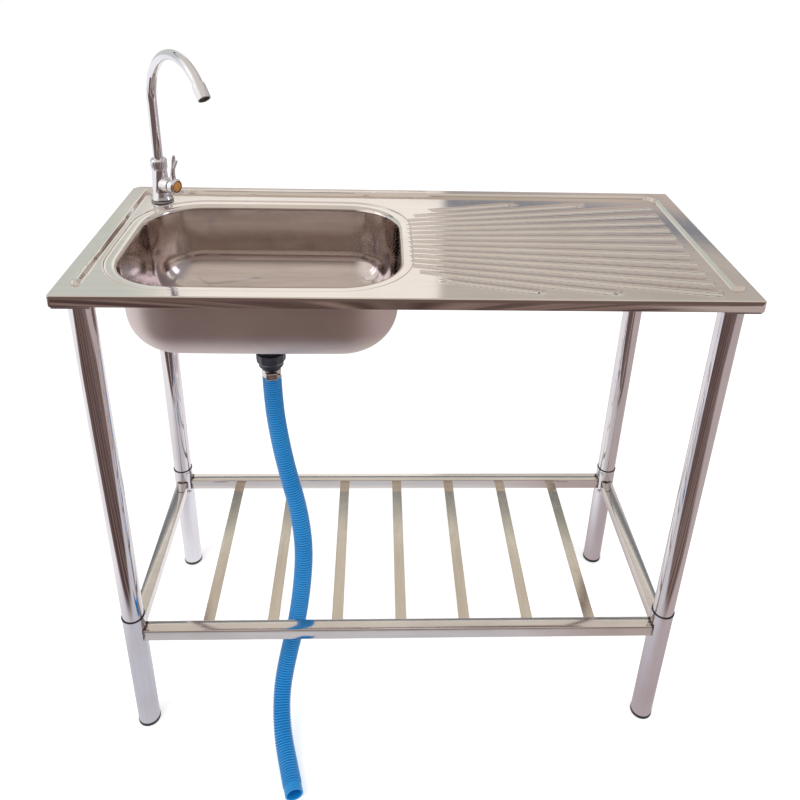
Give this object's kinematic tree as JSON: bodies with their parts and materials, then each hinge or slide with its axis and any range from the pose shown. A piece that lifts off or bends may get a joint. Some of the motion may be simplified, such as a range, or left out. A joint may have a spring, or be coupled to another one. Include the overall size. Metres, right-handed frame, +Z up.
{
  "type": "free-standing kitchen sink unit",
  "caption": "Steel sink top with one bowl and ribbed drainer on a slatted tube stand, with gooseneck tap, drain fitting and corrugated drain hose.",
  "frame": {"origin": "on the floor under the middle of the sink top", "axes": "+Z up; +Y towards the back, where the raised border closes; +X towards the drainer, seen from the front on the right"},
  "size_m": [1, 0.5744, 1.1755],
  "materials": {
    "deck_steel": "bright satin, long brushing",
    "bowl_steel": "satin, drawn",
    "bright_tube": "polished",
    "stand_steel": "bright satin",
    "fastener_steel": "bright",
    "tap_chrome": "polished",
    "brass": "turned",
    "black_plastic": "moulded",
    "black_rubber": "matte",
    "white_plastic": "moulded",
    "index_amber": "glossy",
    "hose_blue": "satin"
  },
  "bodies": {
    "sink_unit": {"back_rail": "stand_steel", "clamp_screw": "fastener_steel", "collar_nut": "tap_chrome", "corner_plate_back_left": "stand_steel", "corner_plate_back_right": "stand_steel", "corner_plate_front_left": "stand_steel", "corner_plate_front_right": "stand_steel", "drain_body": "black_plastic", "drain_gasket": "black_rubber", "drain_hose": "hose_blue", "drain_nut": "black_plastic", "drain_screw": "fastener_steel", "drain_strainer": "bowl_steel", "drain_tail": "black_plastic", "foot_back_left": "black_plastic", "foot_back_right": "black_plastic", "foot_front_left": "black_plastic", "foot_front_right": "black_plastic", "front_rail": "stand_steel", "hose_clamp": "fastener_steel", "left_rail": "stand_steel", "leg_ring_back_left": "black_plastic", "leg_ring_back_right": "black_plastic", "leg_ring_front_left": "black_plastic", "leg_ring_front_right": "black_plastic", "leg_screws": "fastener_steel", "lower_leg_back_left": "stand_steel", "lower_leg_back_right": "stand_steel", "lower_leg_front_left": "stand_steel", "lower_leg_front_right": "stand_steel", "plate_screws": "fastener_steel", "right_rail": "stand_steel", "sink_bowl": "bowl_steel", "sink_deck": "deck_steel", "slat_1": "stand_steel", "slat_2": "stand_steel", "slat_3": "stand_steel", "slat_4": "stand_steel", "slat_5": "stand_steel", "slat_6": "stand_steel", "slat_7": "stand_steel", "tap_body": "tap_chrome", "tap_gasket": "black_rubber", "tap_locknut": "brass", "tap_washer": "fastener_steel", "upper_leg_back_left": "bright_tube", "upper_leg_back_right": "bright_tube", "upper_leg_front_left": "bright_tube", "upper_leg_front_right": "bright_tube", "valve_cartridge": "white_plastic"},
    "spout_arm": {"spout": "tap_chrome", "spout_seal": "black_rubber", "aerator": "tap_chrome", "aerator_insert": "white_plastic"},
    "lever_handle": {"lever": "tap_chrome", "valve_spindle": "brass", "lever_screw": "fastener_steel", "index_cap": "index_amber"}
  },
  "joints": [
    {"name": "spout_swivel", "type": "hinge", "parent": "sink_unit", "child": "spout_arm", "pos_m": [-0.432, 0.152, 0.96], "axis": [0, 0, 1], "continuous": true},
    {"name": "lever_turn", "type": "hinge", "parent": "sink_unit", "child": "lever_handle", "pos_m": [-0.432, 0.152, 0.9316], "axis": [0.8572, -0.515, 0], "range_deg": [0, 90]}
  ]
}
